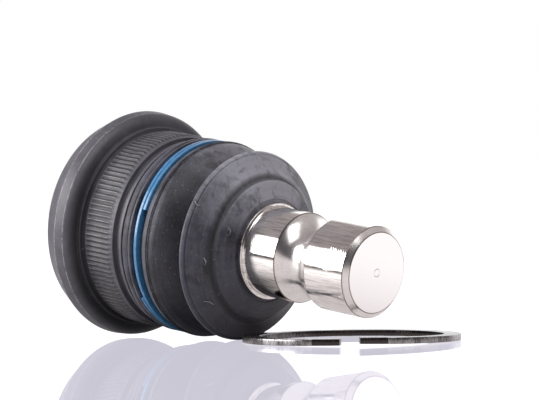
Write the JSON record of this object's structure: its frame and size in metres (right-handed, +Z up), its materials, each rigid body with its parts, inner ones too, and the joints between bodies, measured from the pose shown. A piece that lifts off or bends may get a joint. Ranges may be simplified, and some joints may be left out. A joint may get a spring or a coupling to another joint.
{
  "type": "suspension ball joint",
  "caption": "Press-in suspension ball joint: flanged, serrated housing, ribbed rubber dust boot and a plain stud with a round pinch groove, with its loose retaining ring.",
  "frame": {"origin": "on the ground, under the middle of the whole set as it lies, ball joint and retaining ring together", "axes": "+X the way the stud points, +Y to the side where the retaining ring lies, +Z up"},
  "size_m": [0.091, 0.0592, 0.052],
  "materials": {
    "phosphated_steel": "dark phosphate coating, satin",
    "ground_steel": "turned and ground, bright",
    "spring_steel": "dull, oiled",
    "boot_rubber": "matte, dusty",
    "blue_wire": "blue coated flat wire",
    "acetal": "moulded"
  },
  "bodies": {
    "stud": {"ball_stud": "ground_steel"},
    "boot_collar": {"boot_insert": "spring_steel"},
    "boot_middle": {"dust_boot": "boot_rubber"},
    "housing_body": {"housing": "phosphated_steel", "cover_plate": "phosphated_steel", "preload_spring": "spring_steel", "upper_bearing_shell": "acetal", "lower_bearing_shell": "acetal", "boot_clamp_ring": "blue_wire"},
    "loose_ring": {"retaining_ring": "spring_steel"}
  },
  "joints": [
    {"name": "stud_spin", "type": "hinge", "parent": "stud", "child": "boot_collar", "pos_m": [-0.02553, -0.0036, 0.02471], "axis": [0.9891, 0, -0.1472], "continuous": true},
    {"name": "swing_up", "type": "hinge", "parent": "boot_collar", "child": "boot_middle", "pos_m": [-0.02553, -0.0036, 0.02471], "axis": [0, 1, 0], "range_deg": [-18, 18]},
    {"name": "swing_side", "type": "hinge", "parent": "boot_middle", "child": "housing_body", "pos_m": [-0.02553, -0.0036, 0.02471], "axis": [0.1472, 0, 0.9891], "range_deg": [-18, 18], "deforming": ["dust_boot"]},
    {"name": "ring_away", "type": "slide", "parent": "stud", "child": "loose_ring", "axis": [1, 0, 0], "range_m": [0, 0.06]}
  ]
}
